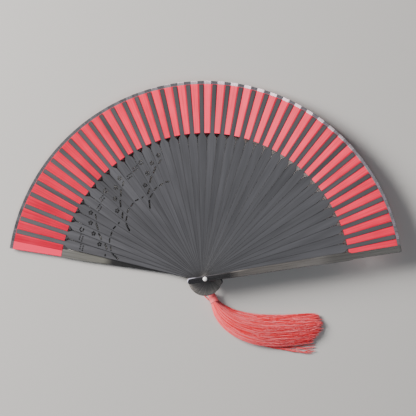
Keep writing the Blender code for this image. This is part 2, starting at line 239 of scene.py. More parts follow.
def make_room():
    """A plain pale floor, one low soft lamp from the upper left, a wide weak one and a pale room."""
    make_light("key_lamp", 155, 29, 1.9, 0.9, 98, "#fff9f6")
    make_light("fill_lamp", 315, 70, 2.2, 0.8, 9, "#f4f7ff")
    world = bpy.data.worlds.new("pale_room")
    world.use_nodes = True
    background = world.node_tree.nodes["Background"]
    background.inputs["Color"].default_value = hex_colour("#e9ecf0")
    background.inputs["Strength"].default_value = 0.13
    bpy.context.scene.world = world
    paper, _, shader = blank_material("pale_paper_floor")
    shader.inputs["Base Color"].default_value = hex_colour("#c2c2bf")
    shader.inputs["Roughness"].default_value = 0.9
    reach, level = 3.0, cad_low[2] - 0.05 * MM
    corners = [(x * reach, y * reach, level) for x, y in ((-1, -1), (1, -1), (1, 1), (-1, 1))]
    floor = make_piece("floor", corners, [(0, 1, 2, 3)], paper)


# --- Finishes ---


def uv_place(tree):
    """The place on a piece, in metres: along and across a stick, along and round a thread, and on the
    leaf round the fan and outwards."""
    return add_node(tree, "ShaderNodeUVMap", {"uv_map": "UVMap"}).outputs["UV"]


def object_place(tree):
    return add_node(tree, "ShaderNodeTexCoord").outputs["Object"]


def attribute(tree, name):
    return add_node(tree, "ShaderNodeAttribute", {"attribute_name": name})


def calculate(tree, operation, *values):
    """One step of arithmetic: each value is a number, or the output of another node."""
    numbers = {place: value for place, value in enumerate(values) if isinstance(value, float)}
    outputs = {place: value for place, value in enumerate(values) if place not in numbers}
    return add_node(tree, "ShaderNodeMath", {"operation": operation, **numbers}, outputs).outputs[0]


def rescale(tree, value, before=(0.0, 1.0), after=(0.0, 1.0)):
    """The value carried from one range to another, and held at its ends."""
    ends = {"From Min": before[0], "From Max": before[1], "To Min": after[0], "To Max": after[1]}
    return add_node(tree, "ShaderNodeMapRange", ends, {"Value": value}).outputs["Result"]


def stretch(tree, place, scale):
    return add_node(tree, "ShaderNodeMapping", {"Scale": scale}, {"Vector": place}).outputs["Vector"]


def noise(tree, place, detail, scale=1.0, roughness=0.5):
    settings = {"Scale": scale, "Detail": detail, "Roughness": roughness}
    return add_node(tree, "ShaderNodeTexNoise", settings, {"Vector": place}).outputs["Fac"]


def waves(tree, place, scale, **kind):
    return add_node(tree, "ShaderNodeTexWave", {"Scale": scale, **kind}, {"Vector": place}).outputs["Fac"]


def colour_ramp(tree, value, stops):
    """A colour by a value: each stop is a position from 0 to 1 and an sRGB hex value."""
    ramp = add_node(tree, "ShaderNodeValToRGB", {}, {"Fac": value})
    elements = ramp.color_ramp.elements
    while len(elements) < len(stops):
        elements.new(0.5)
    for element, (position, code) in zip(elements, stops):
        element.position = position
        element.color = hex_colour(code)
    return ramp.outputs["Color"]


def emboss(tree, shader, height, strength, depth):
    """Joins a height map to the shader as a bump."""
    settings = {"Strength": strength, "Distance": depth}
    relief = add_node(tree, "ShaderNodeBump", settings, {"Height": height})
    tree.links.new(relief.outputs["Normal"], shader.inputs["Normal"])


def stained_wood(name, along, roughness):
    """Black-stained bamboo, planed thin and lacquered. Its colour changes along the stick, given as
    (millimetres from the rivet, colour), and fine streaks run the same way; some of these colours are
    painted light and painted reflection. A second mark darkens it where a laser has cut it, partly real
    scorch and partly painted shade. Below 0 it makes the wood paler, as a painted highlight. The real
    streaks are 0.2 mm wide, and are drawn 1 mm wide here so that they show."""
    made, tree, shader = blank_material(name)
    place = uv_place(tree)
    tone, scorch_and_painted_light = attribute(tree, "tone"), attribute(tree, "scorch_and_painted_light")
    first, last = -0.02, 0.2
    distance = add_node(tree, "ShaderNodeSeparateXYZ", {}, {"Vector": place}).outputs["X"]
    stops = [((millimetres * MM - first) / (last - first), colour) for millimetres, colour in along]
    ramp = colour_ramp(tree, rescale(tree, distance, (first, last)), stops)
    own = {0: place, 1: tone.outputs["Color"]}
    shifted = add_node(tree, "ShaderNodeVectorMath", {"operation": "ADD"}, own).outputs["Vector"]
    streaks = noise(tree, stretch(tree, shifted, (30, 1000, 3)), 3.0, roughness=0.6)
    clouds = noise(tree, stretch(tree, shifted, (14, 130, 5)), 2.0)
    mixed = calculate(tree, "ADD", streaks, clouds)
    summed = calculate(tree, "MULTIPLY_ADD", tone.outputs["Fac"], 0.5, mixed)
    factor = rescale(tree, summed, (0.85, 1.65), (0.62, 1.38))
    kept = calculate(tree, "MULTIPLY_ADD", scorch_and_painted_light.outputs["Fac"], -0.96, 1.0)
    both = {0: ramp, "Scale": calculate(tree, "MULTIPLY", factor, kept)}
    colour = add_node(tree, "ShaderNodeVectorMath", {"operation": "SCALE"}, both)
    tree.links.new(colour.outputs["Vector"], shader.inputs["Base Color"])
    rough = rescale(tree, streaks, after=(roughness - 0.07, roughness + 0.09))
    tree.links.new(rough, shader.inputs["Roughness"])
    emboss(tree, shader, streaks, 0.25, 0.06 * MM)
    return made


def leaf_cloth():
    """Thin red silk cloth, plain-woven: soft streaks run out along each pleat, with a light sheen. The
    real threads are 0.1 mm apart, and they are drawn 1.1 mm apart here so that they show."""
    made, tree, shader = blank_material("red_pleated_silk")
    place = uv_place(tree)
    streaks = noise(tree, stretch(tree, place, (900, 26, 1)), 3.0, roughness=0.55)
    patches = noise(tree, place, 2.0, scale=45.0)
    summed = calculate(tree, "MULTIPLY_ADD", patches, 0.6, streaks)
    shifted = calculate(tree, "MULTIPLY_ADD", attribute(tree, "tone").outputs["Fac"], 0.4, summed)
    halved = calculate(tree, "MULTIPLY", shifted, 0.5)
    ramp = colour_ramp(tree, halved, [(0.3, "#b80f30"), (0.5, "#e2183f"), (0.75, "#ff2f58")])
    tree.links.new(ramp, shader.inputs["Base Color"])
    warp, weft = (waves(tree, place, 290.0, wave_type="BANDS", bands_direction=way) for way in "XY")
    crossed = calculate(tree, "MULTIPLY", warp, weft)
    emboss(tree, shader, calculate(tree, "MULTIPLY_ADD", crossed, 0.5, streaks), 0.3, 0.08 * MM)
    shader.inputs["Roughness"].default_value = 0.5
    shader.inputs["Specular Tint"].default_value = hex_colour("#ffa8bc")
    shader.inputs["Sheen Weight"].default_value = 0.25
    shader.inputs["Sheen Roughness"].default_value = 0.4
    shader.inputs["Sheen Tint"].default_value = hex_colour("#ff9aa6")
    return made


def satin_tape():
    """Narrow grey satin tape, folded over the edge: a close rib runs across it, and it gleams. The real
    rib is 0.15 mm wide, and it is drawn 0.7 mm wide here so that it shows."""
    made, tree, shader = blank_material("grey_satin_tape")
    threads = noise(tree, stretch(tree, uv_place(tree), (1500, 90, 1)), 2.0)
    ramp = colour_ramp(tree, threads, [(0.3, "#505356"), (0.55, "#606367"), (0.75, "#787b80")])
    tree.links.new(ramp, shader.inputs["Base Color"])
    emboss(tree, shader, threads, 0.3, 0.05 * MM)
    shader.inputs["Roughness"].default_value = 0.33
    shader.inputs["Specular IOR Level"].default_value = 1.0
    shader.inputs["Specular Tint"].default_value = hex_colour("#ffd4e2")
    shader.inputs["Metallic"].default_value = 0.25
    return made


def silk_thread():
    """Coral red silk floss: every thread has its own tone, and it gleams along its length."""
    made, tree, shader = blank_material("coral_silk_floss")
    fibres = noise(tree, stretch(tree, uv_place(tree), (3, 60, 1)), 2.0)
    mixed = calculate(tree, "MULTIPLY_ADD", fibres, 0.35, attribute(tree, "tone").outputs["Fac"])
    ramp = colour_ramp(tree, mixed, [(0.15, "#e81e2c"), (0.55, "#ff3e48"), (1.0, "#ff7e84")])
    tree.links.new(ramp, shader.inputs["Base Color"])
    shader.inputs["Roughness"].default_value = 0.45
    shader.inputs["Specular Tint"].default_value = hex_colour("#ffb8b8")
    shader.inputs["Sheen Weight"].default_value = 0.3
    shader.inputs["Sheen Tint"].default_value = hex_colour("#ff9098")
    return made


def turned_steel():
    """Bright steel, turned on a lathe: rings round the axis, drawn 0.5 mm apart so that they show."""
    made, tree, shader = blank_material("turned_steel")
    rings = waves(tree, object_place(tree), 640.0, wave_type="RINGS", rings_direction="Z")
    emboss(tree, shader, rings, 0.2, 0.03 * MM)
    shader.inputs["Base Color"].default_value = hex_colour("#d8d8d6")
    shader.inputs["Metallic"].default_value = 1.0
    shader.inputs["Roughness"].default_value = 0.28
    return made


def white_cap_glint():
    """A glossy white finish on the domed cap, with the faintest orange-peel: its pure white all over is a
    painted highlight, standing in for the glint on a polished dome.
    """
    made, tree, shader = blank_material("white_cap_glint")
    peel = noise(tree, object_place(tree), 1.0, scale=900.0)
    emboss(tree, shader, peel, 0.08, 0.03 * MM)
    shader.inputs["Base Color"].default_value = hex_colour("#ffffff")
    shader.inputs["Roughness"].default_value = 0.16
    shader.inputs["Coat Weight"].default_value = 0.6
    return made


# --- Tassel: cord, neck and threads ---

# The cord's route in millimetres: out of the tassel's neck, round the pin and back to the neck.
CORD_ROUTE = (
    (6.3, -13.6, 3.0),
    (5.7, -11.3, 2.2),
    (4.8, -8.6, 1.35),
    (3.8, -5.8, 1.08),
    (2.8, -3.0, 1.08),
    (2.1, -0.4, 1.08),
    (1.5, 1.3, 1.08),
    (0.0, 2.0, 1.08),
    (-1.5, 1.3, 1.08),
    (-2.1, -0.4, 1.08),
    (-2.3, -3.2, 1.08),
    (-2.2, -6.4, 1.08),
    (-1.9, -9.6, 1.08),
    (-1.5, -12.8, 1.08),
    (-0.8, -15.6, 1.00),
    (0.5, -17.7, 0.90),
    (2.3, -19.4, 0.85),
    (4.0, -20.9, 0.80),
)
CORD_RADIUS, PLY_TURN = 0.5 * MM, 2.4 * MM
NECK_START, NECK_START_HALF = np.array([5.9, -14.3]) * MM, 3.5 * MM
NECK_END, NECK_END_HALF = np.array([10.0, -23.2]) * MM, 4.55 * MM
SKIRT_START_HEIGHT, SKIRT_END_HEIGHT = 8.6 * MM, 4.6 * MM

# The radius that a round piece ends with, too small to be seen.
CLOSED = 1e-6

# The skirt's middle line from the neck to the ragged end, with its half-width there, in millimetres.
SKIRT_ROUTE = (
    (9.3, -22.0, 3.9),
    (10.3, -23.9, 4.5),
    (15.4, -31.2, 8.0),
    (23.2, -38.2, 10.6),
    (33.4, -43.6, 13.0),
    (45.0, -47.3, 14.6),
    (57.0, -49.4, 15.5),
    (69.0, -49.8, 15.8),
    (81.5, -49.2, 15.6),
    (93.5, -48.0, 15.2),
    (104.5, -46.6, 14.6),
    (117.0, -45.3, 12.8),
)


def sides_of(count):
    """The directions of a tube's sides, as angles round it."""
    return np.linspace(0, 2 * np.pi, count, endpoint=False)


def tube(line, radius):
    """Points round a line, or round each of several: radius has a row for each of the line's points
    and a column for each side."""
    across, up = across_and_up(line)
    turn = sides_of(radius.shape[1])[:, None]
    ring = np.cos(turn) * across[..., None, :] + np.sin(turn) * up[..., None, :]
    return line[..., None, :] + radius[..., None] * ring


def lengthwise(line):
    """How far along the line each of its points is."""
    return np.concatenate([[0], np.cumsum(np.linalg.norm(np.diff(line, axis=0), axis=1))])


def make_cord(silk):
    """A tube of two plies twisted round each other: its radius is largest at the two plies, and they
    turn once in every 2.4 mm of its length."""
    line = smooth_line(CORD_ROUTE, 10) * MM
    walked = lengthwise(line)
    twist = sides_of(12)[None, :] - 2 * np.pi * walked[:, None] / PLY_TURN
    ply = np.abs(np.cos(twist))
    radius = CORD_RADIUS * (0.74 + 0.26 * ply)
    radius[[0, -1]] = CLOSED
    faces, shares = grid_faces(*radius.shape, closed=True)
    uv = shares * [walked[-1], 2 * np.pi * CORD_RADIUS]
    points = tube(line, radius).reshape(-1, 3)
    # Its tone is darker in the grooves between the plies: painted shade.
    cord = make_piece("tassel_cord_twisted", points, faces, silk, uv, 0.45 + 0.25 * ply, weld=True)
    return cord, line, float(walked[-1])


def make_neck(silk):
    """A barrel wound with thread: a circle carried from one end of the neck to the other, whose radius
    widens towards the skirt, is rounded off at both ends and ripples at each turn of thread."""
    rows, sides, turns = 130, 40, 16
    share = np.linspace(0, 1, rows)
    half = NECK_START_HALF + (NECK_END_HALF - NECK_START_HALF) * share
    ripple = np.abs(np.sin(np.pi * turns * share))
    rounded = np.clip(1 - np.abs(2 * share - 1) ** 14, 0, 1) ** 0.5
    radius = half * (0.955 + 0.035 * ripple) * (0.3 + 0.7 * rounded)
    radius[[0, -1]] = CLOSED
    line = np.column_stack([NECK_START + (NECK_END - NECK_START) * share[:, None], half])
    points = tube(line, np.broadcast_to(radius[:, None], (rows, sides))).reshape(-1, 3)
    faces, shares = grid_faces(rows, sides, closed=True)
    # The tone is darker in the grooves between turns, as painted shade, and high overall, as painted light
    # against the shade that falls on the neck.
    tone = np.broadcast_to((0.45 + 0.45 * ripple)[:, None], (rows, sides))
    uv = shares * [0.01, 0.025]
    return make_piece("tassel_neck_wound", points, faces, silk, uv, tone, weld=True)


def skirt_section(share):
    """The skirt at shares of its length: middle point, half-width and height."""
    line = smooth_line(SKIRT_ROUTE, 12) * MM
    walked = lengthwise(line[:, :2])
    x, y, half = (np.interp(share, walked / walked[-1], line[:, k]) for k in range(3))
    height = SKIRT_START_HEIGHT + (SKIRT_END_HEIGHT - SKIRT_START_HEIGHT) * np.asarray(share)
    return np.stack([x, y, np.zeros_like(x)], -1), half, height


def make_threads(silk):
    """Several hundred thin three-sided tubes. Each keeps its own place in the skirt's flat oval section,
    wanders slowly across it by a few sines, and is cut at its own length, the middle ones longest. A
    few strays leave the lower side halfway along and end below the rest."""
    rng = np.random.default_rng(11)
    count, strays, points_each, sides = 760, 8, 20, 3
    radius = 0.44 * MM
    angle = rng.uniform(0, 2 * np.pi, count)
    buried = rng.uniform(0, 1, count) < 0.2
    out = np.where(buried, rng.uniform(0.2, 0.8, count), rng.uniform(0.84, 1, count))
    place_across, place_up = out * np.cos(angle), out * np.sin(angle)
    place_across[:strays], place_up[:strays] = -0.9, rng.uniform(-0.9, -0.3, strays)
    cut = 1.0 - 0.075 * (place_across - 0.25) ** 2 - 0.085 * rng.uniform(0, 1, count)
    cut -= 0.12 * rng.uniform(0, 1, count) ** 5
    cut[:strays] = rng.uniform(0.86, 0.92, strays)
    share = np.linspace(0, 1, points_each)[None, :] * cut[:, None]
    middle, half, height = skirt_section(share)
    wander, lift = np.zeros_like(share), np.zeros_like(share)
    for turns, size in ((1.3, 0.12), (2.6, 0.07), (5.0, 0.03)):
        for moved in (wander, lift):
            moved += size * np.sin(2 * np.pi * (turns * share + rng.uniform(0, 1, (count, 1)))) * share
    aside = np.clip(place_across[:, None] + wander, -1.0, 1.0)
    leaving = rng.uniform(0.3, 0.95, (strays, 1))
    aside[:strays] -= leaving * smoothstep((share[:strays] - 0.48) / 0.42)
    oval = np.sqrt(np.clip(1.05 - np.clip(aside, -1, 1) ** 2, 0.05, 1))
    above = np.clip(place_up[:, None] + lift, -1, 1) * oval
    above[:strays] = np.minimum(above[:strays], -0.75)
    across, _ = across_and_up(middle)
    line = middle + across * (aside * (half - radius))[..., None]
    line[..., 2] = radius + (height - 2 * radius) / 2 * (1 + above)
    thin = np.full((points_each, sides), radius)
    thin[-1] = radius * 0.35
    points = tube(line, thin)
    faces, shares = grid_faces(points_each, sides, closed=True)
    start = (np.arange(count) * points_each * sides)[:, None, None]
    faces = (faces[None] + start).reshape(-1, 4)
    offset = rng.uniform(0, 1, (count, 1, 1, 2))
    uv = np.broadcast_to(shares * [0.12, 0.003], (count, *shares.shape)) + offset
    shade = rng.choice([-0.25, 0.3, 0.65, 1.05], (count, 1, 1), p=[0.15, 0.3, 0.3, 0.25])
    tone = np.broadcast_to(shade + rng.uniform(-0.1, 0.1, (count, 1, 1)), points.shape[:3])
    uv = uv.reshape(-1, 2)
    return make_piece("tassel_skirt_threads", points.reshape(-1, 3), faces, silk, uv, tone)


def make_core(silk):
    """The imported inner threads: the skirt's oval section at 78% of its size, ridged lengthwise, which
    draws in to a rounded end over its last stretch."""
    rows, sides, end, narrowing = 60, 72, 0.86, 0.72
    share = np.linspace(0, end, rows)
    middle, half, height = skirt_section(share)
    across, _ = across_and_up(middle)
    turn = sides_of(sides)
    ridge = 0.78 + 0.02 * np.sin(18 * turn)[None, :] * np.sin(7 * turn + 1.3)[None, :]
    drawn_in = np.clip(share - narrowing, 0, 1) / (end - narrowing + 0.0001)
    fade = np.sqrt(1 - drawn_in**2)
    width = half[:, None] * ridge * fade[:, None]
    points = middle[:, None] + across[:, None] * (width * np.cos(turn))[..., None]
    points[..., 2] = height[:, None] / 2 * (1 + 0.78 * fade[:, None] * np.sin(turn))
    faces, shares = grid_faces(rows, sides, closed=True)
    tone = np.broadcast_to(0.3 + 0.2 * np.sin(9 * turn), (rows, sides))
    uv = shares * [0.12, 0.2]
    return make_piece("tassel_skirt_core", points.reshape(-1, 3), faces, silk, uv, tone, weld=True)


def make_tassel():
    silk = silk_thread()
    cord, line, length = make_cord(silk)
    neck = make_neck(silk)
    threads = make_threads(silk)
    core = make_core(silk)
    pieces = (
        (cord, "tassel_cord"),
        (neck, "tassel_neck"),
        (threads, "tassel_skirt"),
        (core, "tassel_skirt"),
    )
    for piece, node in pieces:
        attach(piece, "tassel")
        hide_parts(node)


# --- Sticks: flat plates with rounded edges ---


def inset_loop(loop, distance, sharpest=0.35):
    """The loop moved to its left by a distance: each corner goes along the sum of its two sides'
    normals, divided by one plus their product, which is kept above sharpest. Outlines run
    anticlockwise and holes clockwise, so both move into the wood."""
    side = unit(np.roll(loop, -1, axis=0) - loop)
    normal = np.stack([-side[:, 1], side[:, 0]], -1)
    before = np.roll(normal, 1, axis=0)
    share = 1 + (normal * before).sum(1, keepdims=True)
    return loop + distance * (normal + before) / np.maximum(share, sharpest)


def turning(loop):
    """Twice the loop's area, positive when it runs anticlockwise."""
    following = np.roll(loop, -1, axis=0)
    return float((loop[:, 0] * following[:, 1] - loop[:, 1] * following[:, 0]).sum())


def spare_room(loops):
    """For each loop, its least distance to any other, measured between points 0.2 mm apart."""
    dense = []
    for loop in loops:
        following = np.roll(loop, -1, axis=0)
        counts = np.ceil(np.linalg.norm(following - loop, axis=1) / (0.2 * MM)).astype(int) + 1
        sides = zip(loop, following, counts)
        dense.append(np.vstack([np.linspace(a, b, n, endpoint=False) for a, b, n in sides]))
    room = np.full(len(loops), 1.0)
    for first in range(len(loops)):
        for second in range(first):
            apart = np.linalg.norm(dense[first][:, None] - dense[second][None], axis=-1).min()
            room[first], room[second] = min(room[first], apart), min(room[second], apart)
    return room


def plate(loops, thickness, edge, steps, rim):
    """A plate from an outline and its holes. Each wall is a quarter-round, a flat and a quarter-round,
    carried along its loop as rows of (inset, height). Two more rows on each face, up to a rim's width
    further in where there is room, keep the face flat; the faces are filled between the last ones.
    The third result is 1 on the walls and the rim and 0 on the last row."""
    loops = [np.array(loop, float) for loop in loops]
    loops = [loop if (turning(loop) > 0) == (k == 0) else loop[::-1] for k, loop in enumerate(loops)]
    bend = np.linspace(0, np.pi / 2, steps + 1)
    upper = np.stack([edge * (1 - np.cos(bend)), thickness / 2 - edge + edge * np.sin(bend)], -1)
    walls = np.vstack([upper[::-1] * [1, -1], upper])
    points, faces, lids, marks = [], [], ([], []), []
    base = 0
    for loop, room in zip(loops, spare_room(loops)):
        width = min(rim, 0.42 * room)
        flats = [(inset, thickness / 2) for inset in (edge + 0.8 * width, edge + width)]
        rows = [(inset, -height) for inset, height in flats[::-1]] + [*walls] + flats
        limits = [0.8, 0.8] + [0.35] * len(walls) + [0.8, 0.8]
        rings = [
            np.column_stack([inset_loop(loop, inset, limit), np.full(len(loop), height)])
            for (inset, height), limit in zip(rows, limits)
        ]
        points.append(np.vstack(rings))
        marks.append(np.repeat([0.0] + [1.0] * (len(rows) - 2) + [0.0], len(loop)))
        faces.append(grid_faces(len(rows), len(loop), closed=True)[0] + base)
        lids[0].append(base + np.arange(len(loop)))
        lids[1].append(base + (len(rows) - 1) * len(loop) + np.arange(len(loop)))
        base += len(rows) * len(loop)
    points = np.vstack(points)
    all_faces = [tuple(face) for face in np.vstack(faces)]
    for ids, outward in zip(lids, (-1, 1)):
        rims = [[Vector((*points[i, :2], 0)) for i in ring] for ring in ids]
        corners = np.concatenate(ids)[np.array(tessellate_polygon(rims))]
        spans = points[corners][:, 1:, :2] - points[corners][:, :1, :2]
        facing = spans[:, 0, 0] * spans[:, 1, 1] - spans[:, 0, 1] * spans[:, 1, 0]
        corners[facing * outward < 0] = corners[facing * outward < 0][:, ::-1]
        all_faces += [tuple(face) for face in corners]
    return points, all_faces, np.concatenate(marks)


def placed(points, roll, angle, level):
    """Points of a stick drawn along +X, rolled about its length, turned about the rivet and raised."""
    x, y, z = points.T
    y, z = y * math.cos(roll) - z * math.sin(roll), y * math.sin(roll) + z * math.cos(roll)
    x, y = x * math.cos(angle) - y * math.sin(angle), x * math.sin(angle) + y * math.cos(angle)
    return np.column_stack([x, y, z + level])


def circle(centre, radius, steps, start=0.0, end=2 * math.pi):
    turn = np.linspace(start, end, steps, endpoint=end - start < 2 * math.pi)
    return np.column_stack([centre[0] + radius * np.cos(turn), centre[1] + radius * np.sin(turn)])


# Colours along the sticks, by millimetres from the rivet. The ribs' pale tails are painted light that
# lifts the shade falling on them by the rivet. The pale stretch of each guard is a painted reflection of
# the lamp in its lacquer.
RIB_TONES = (
    (-16, "#a19b94"),
    (-4, "#6c6966"),
    (8, "#434447"),
    (60, "#45464a"),
    (140, "#4b4c50"),
    (190, "#4c4d4f"),
)
REAR_TONES = (
    (-17, "#1c1c1d"),
    (40, "#1b1b1c"),
    (92, "#252525"),
    (101, "#65655f"),
    (142, "#696966"),
    (193, "#55554f"),
)
FRONT_TONES = (
    (-17, "#17171a"),
    (24, "#1b1a1a"),
    (34, "#524f4c"),
    (112, "#5a5855"),
    (128, "#454441"),
    (193, "#484845"),
)

PIVOT_HALF, SHOULDER_HALF, SHOULDER = 3.0 * MM, 4.55 * MM, 138.0 * MM
TIP_ROOT, TIP_ROOT_HALF, TIP_END, TIP_END_HALF = 141.5 * MM, 2.10 * MM, 189.7 * MM, 2.25 * MM
TAIL = 16.6 * MM
RIB_THICKNESS, RIB_EDGE, RIB_RIM = 0.25 * MM, 0.06 * MM, 0.32 * MM
GUARD_THICKNESS, GUARD_EDGE, GUARD_RIM = 1.8 * MM, 0.55 * MM, 0.25 * MM
HOLE = 1.38 * MM


def blade_half(distance):
    """Half the width of a rib's blade at a distance from the rivet."""
    return PIVOT_HALF + (SHOULDER_HALF - PIVOT_HALF) * distance / SHOULDER


def rib_outline():
    """Round tail, blade widening to its shoulder, then the narrow tip, anticlockwise from the tail."""
    tail_half = blade_half(-TAIL / 2)
    tail = circle((tail_half - TAIL, 0), tail_half, 17, math.pi / 2, 3 * math.pi / 2)
    lower = np.array(
        [
            (SHOULDER - 0.9 * MM, -SHOULDER_HALF),
            (SHOULDER, -SHOULDER_HALF + 0.12 * MM),
            (SHOULDER + 0.7 * MM, -SHOULDER_HALF + 0.55 * MM),
            (TIP_ROOT - 0.5 * MM, -TIP_ROOT_HALF - 0.35 * MM),
            (TIP_ROOT + 0.5 * MM, -TIP_ROOT_HALF),
            (TIP_END - 0.7 * MM, -TIP_END_HALF),
            (TIP_END, -TIP_END_HALF + 0.5 * MM),
        ]
    )
    return np.vstack([tail, lower, lower[::-1] * [1, -1]])


def on_blade(distance_mm, across):
    """A point of the blade that stays in view: across is 0 at its left edge, 1 at the next rib's."""
    distance = distance_mm * MM
    return np.array([distance, blade_half(distance) - across * distance * PITCH])


def slot(start, end, width=1.0 * MM):
    """A narrow hole between two points whose ends are drawn to a soft point."""
    along = (end - start) / np.linalg.norm(end - start)
    side = np.array([-along[1], along[0]]) * width / 2
    run = np.array([0.0, 0.45, 1.3])[:, None] * along * width / 2
    open_out = np.array([0.0, 0.7, 1.0])[:, None] * side
    left = np.vstack([start + run + open_out, (end - run + open_out)[::-1]])
    right = np.vstack([(end - run - open_out)[1:], (start + run - open_out)[::-1][:-1]])
    return np.vstack([left, right])


def petal(centre, turn):
    """A drop with its narrow end towards the blossom's middle: half its width is a sine bent outwards."""
    out = np.array([math.cos(turn), math.sin(turn)])
    side = np.array([-out[1], out[0]])
    share = np.array([0.0, 0.2, 0.45, 0.7, 0.9, 1.0])
    width = np.array([0.0, 0.30, 0.48, 0.50, 0.32, 0.0]) * 1.08 * MM
    middle = centre + out * ((1.45 - 0.62 + 1.26 * share) * MM)[:, None]
    return np.vstack([middle - width[:, None] * side, (middle + width[:, None] * side)[::-1][1:-1]])


def blossom(centre):
    return [petal(centre, 2 * math.pi * number / 5) for number in range(5)]


def sprig(distance_mm):
    """Two staggered rows of dots across the blade."""
    lower = [on_blade(distance_mm, across) for across in (0.22, 0.46, 0.70)]
    upper = [on_blade(distance_mm + 2.6, across) for across in (0.34, 0.58, 0.82)]
    return [circle(centre, 0.42 * MM, 8) for centre in lower + upper]


def bud(distance_mm):
    """Three short strokes that curl round an open side, like a closed flower."""
    low, high, line = distance_mm - 1.5, distance_mm + 1.5, 0.7 * MM
    return [
        slot(on_blade(low, 0.28), on_blade(low, 0.62), line),
        slot(on_blade(low + 0.7, 0.20), on_blade(high - 0.3, 0.24), line),
        slot(on_blade(high + 0.3, 0.30), on_blade(high - 0.2, 0.66), line),
    ]


def motif_holes(place):
    """The holes of one rib, by its place in the motif: blossoms climb over a stem of slots."""
    line = 0.7 * MM
    if place == 0:
        return [
            *sprig(123.0),
            slot(on_blade(100.0, 0.20), on_blade(100.3, 0.48), line),
            slot(on_blade(87.0, 0.28), on_blade(94.2, 0.90)),
        ]
    if place == 1:
        return [
            *sprig(126.0),
            *blossom(on_blade(108.4, 0.56)),
            slot(on_blade(99.9, 0.20), on_blade(103.4, 0.86)),
            slot(on_blade(95.7, 0.22), on_blade(97.6, 0.84), line),
        ]
    if place == 2:
        return [
            *bud(129.5),
            *blossom(on_blade(117.4, 0.53)),
            slot(on_blade(108.0, 0.22), on_blade(113.0, 0.84)),
            slot(on_blade(99.7, 0.24), on_blade(101.0, 0.82), line),
        ]
    if place == 3:
        return [
            *blossom(on_blade(124.3, 0.52)),
            slot(on_blade(114.8, 0.20), on_blade(119.6, 0.80)),
            slot(on_blade(101.1, 0.24), on_blade(101.8, 0.80), line),
        ]
    return [
        *blossom(on_blade(128.8, 0.52)),
        slot(on_blade(121.0, 0.20), on_blade(124.0, 0.66), line),
        slot(on_blade(102.1, 0.22), on_blade(101.2, 0.72), line),
    ]


def stick_angle(stick):
    return FIRST_ANGLE - stick * PITCH


def rib_name(rib):
    return f"rib_{rib:02d}"


def level_of(node):
    """The middle height of a stick's CAD solid."""
    low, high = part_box(node)
    return (low[2] + high[2]) / 2


def make_ribs():
    wood = stained_wood("black_stained_bamboo", RIB_TONES, 0.46)
    outline, hole = rib_outline(), circle((0, 0), HOLE, 24)
    cuts = [[], *(motif_holes(place) for place in range(5))]
    plain, *pierced = [
        plate([outline, hole, *cut], RIB_THICKNESS, RIB_EDGE, 2, RIB_RIM) for cut in cuts
    ]
    rows_of_plate = 10
    outer = len(outline) * rows_of_plate
    rng = np.random.default_rng(5)
    for rib in range(1, RIBS + 1):
        points, faces, scorch_and_painted_light = pierced[(rib - 1) % 5] if rib <= PIERCED_RIBS else plain
        tone = np.full(len(points), rng.uniform(0.25, 0.75))
        # Round each hole the dark band is partly laser scorch and partly painted shade that makes the
        # opening read dark. Round the outline it is weaker: painted shade in the gap along each rib's
        # edge.
        scorch_and_painted_light = np.concatenate([0.6 * scorch_and_painted_light[:outer], scorch_and_painted_light[outer:]])
        there = placed(points, ROLL, stick_angle(rib), level_of(rib_name(rib)))
        name = f"{rib_name(rib)}_blade"
        piece = make_piece(name, there, faces, wood, points[:, :2], tone, scorch_and_painted_light, sharp=50)
        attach(piece, f"{rib_name(rib)}_body")
        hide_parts(rib_name(rib))


# Edges of the guards, in millimetres: distance from the rivet, and from the stick's middle line.
REAR_LEFT_EDGE = (
    (22.0, 1.6),
    (36.0, 1.3),
    (60.0, 1.9),
    (100.0, 3.4),
    (120.0, 4.35),
    (142.6, 4.25),
    (144.2, 3.1),
)
REAR_RIGHT_EDGE = ((22.0, 2.9), (142.6, 3.9), (144.2, 2.6))
FRONT_LEFT_EDGE = (
    (20.0, 2.9),
    (40.0, 3.4),
    (80.0, 4.0),
    (105.0, 4.3),
    (122.0, 4.85),
    (142.6, 4.85),
    (144.2, 3.5),
    (165.0, 3.9),
    (190.0, 4.2),
)
FRONT_RIGHT_EDGE = ((20.0, 2.75), (100.0, 2.9), (122.0, 3.4), (142.6, 3.4), (147.0, 2.7))
# The guards' far end and the radius of its corners, in millimetres too.
GUARD_END, GUARD_CORNER = 193.0, 1.6
GUARD_TAIL, GUARD_TAIL_HALF = 17.6 * MM, 3.0 * MM


def guard_side(edge):
    """One long side: straight lines between the edge's points, averaged over 2 mm so that its corners
    turn softly, and drawn in by a quarter circle at the end."""
    straight = GUARD_END - GUARD_CORNER
    tail = ((GUARD_TAIL_HALF - GUARD_TAIL) / MM, GUARD_TAIL_HALF / MM)
    x, y = np.array([tail, *edge, (GUARD_END, edge[-1][1])]).T
    spans = ((-8, 138, 42), (140, 150, 26), (153, straight, 12))
    place = np.concatenate([np.linspace(*span) for span in spans])
    half = np.mean([np.interp(place + shift, x, y) for shift in np.linspace(-1.0, 1.0, 9)], axis=0)
    turn = np.linspace(0, math.pi / 2, 8)[1:]
    corner = GUARD_CORNER * np.column_stack([np.sin(turn), np.cos(turn) - 1]) + [straight, half[-1]]
    return np.vstack([np.column_stack([place, half]), corner]) * MM


def guard_outline(left, right):
    tail = circle((GUARD_TAIL_HALF - GUARD_TAIL, 0), GUARD_TAIL_HALF, 21, math.pi / 2, 3 * math.pi / 2)
    return np.vstack([tail, guard_side(right) * [1, -1], guard_side(left)[::-1]])


